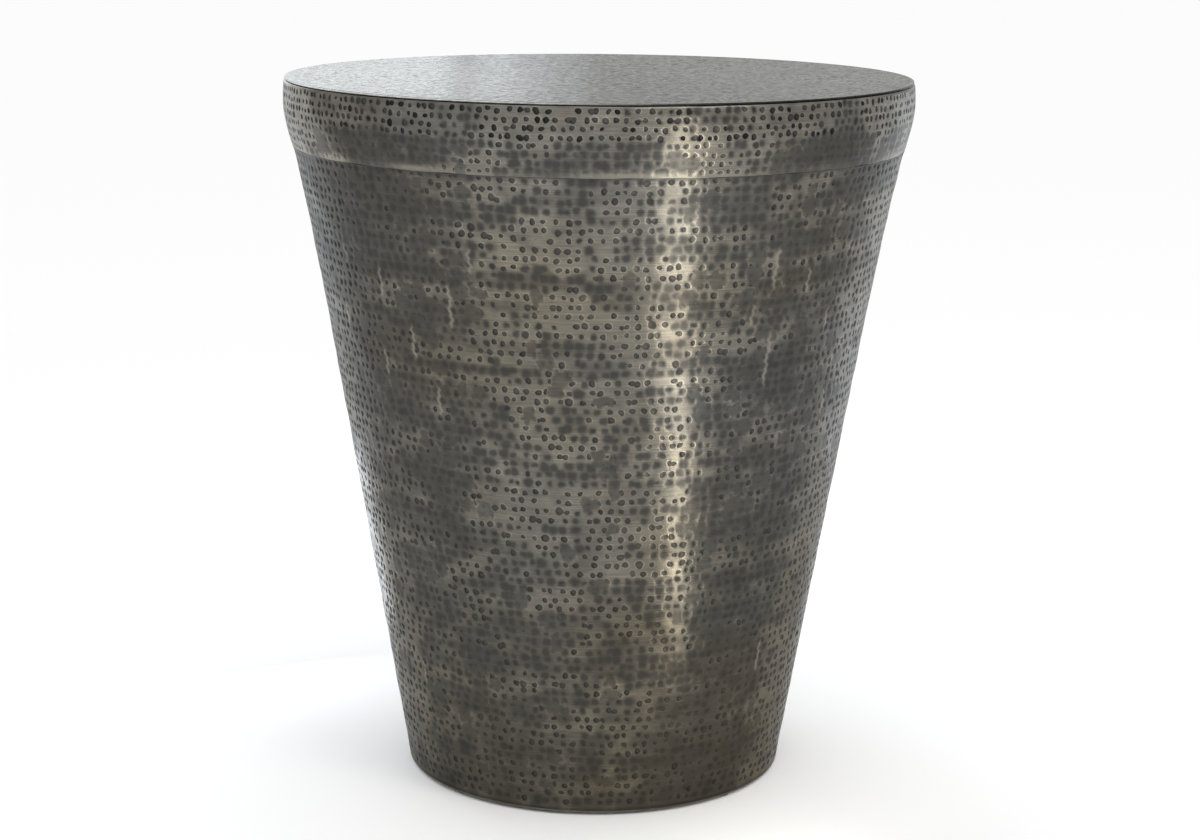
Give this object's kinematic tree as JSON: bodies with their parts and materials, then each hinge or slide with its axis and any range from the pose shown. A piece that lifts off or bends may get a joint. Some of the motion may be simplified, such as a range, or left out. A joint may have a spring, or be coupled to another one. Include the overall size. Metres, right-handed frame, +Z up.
{
  "type": "drum side table",
  "caption": "Hammered metal drum side table: flat round top on a bulged shoulder band over a shell that tapers to a narrow foot, hollow inside.",
  "frame": {"origin": "centre of the foot on the floor, on the drum's axis", "axes": "+Z up along the axis of the drum, the front towards -Y, +X to the right seen from the front, the butt weld of the cone at the back towards +Y"},
  "size_m": [0.508, 0.508, 0.572],
  "materials": {
    "hammered_metal": "hammered sheet with a dark patina in the dents and the high spots rubbed to a warm pewter shine",
    "weld_metal": "plain weld metal, darkened, unpolished",
    "black_bar": "hot-rolled flat bar with its mill scale, darkened",
    "board": "plain fibreboard, sealed",
    "nylon": "black nylon"
  },
  "bodies": {
    "root": {"top_disc": "hammered_metal", "shoulder_band": "hammered_metal", "tapered_wall": "hammered_metal", "wall_butt_weld": "weld_metal", "shoulder_stitch_welds": "weld_metal", "top_board": "board", "top_tack_welds": "weld_metal", "cross_bar_side_to_side": "black_bar", "cross_bar_front_to_back": "black_bar", "bar_end_welds": "weld_metal", "bar_cross_welds": "weld_metal", "foot_hoop": "black_bar", "hoop_tack_welds": "weld_metal", "foot_glide_1": "nylon", "foot_glide_2": "nylon", "foot_glide_3": "nylon", "foot_glide_4": "nylon"}
  },
  "joints": []
}
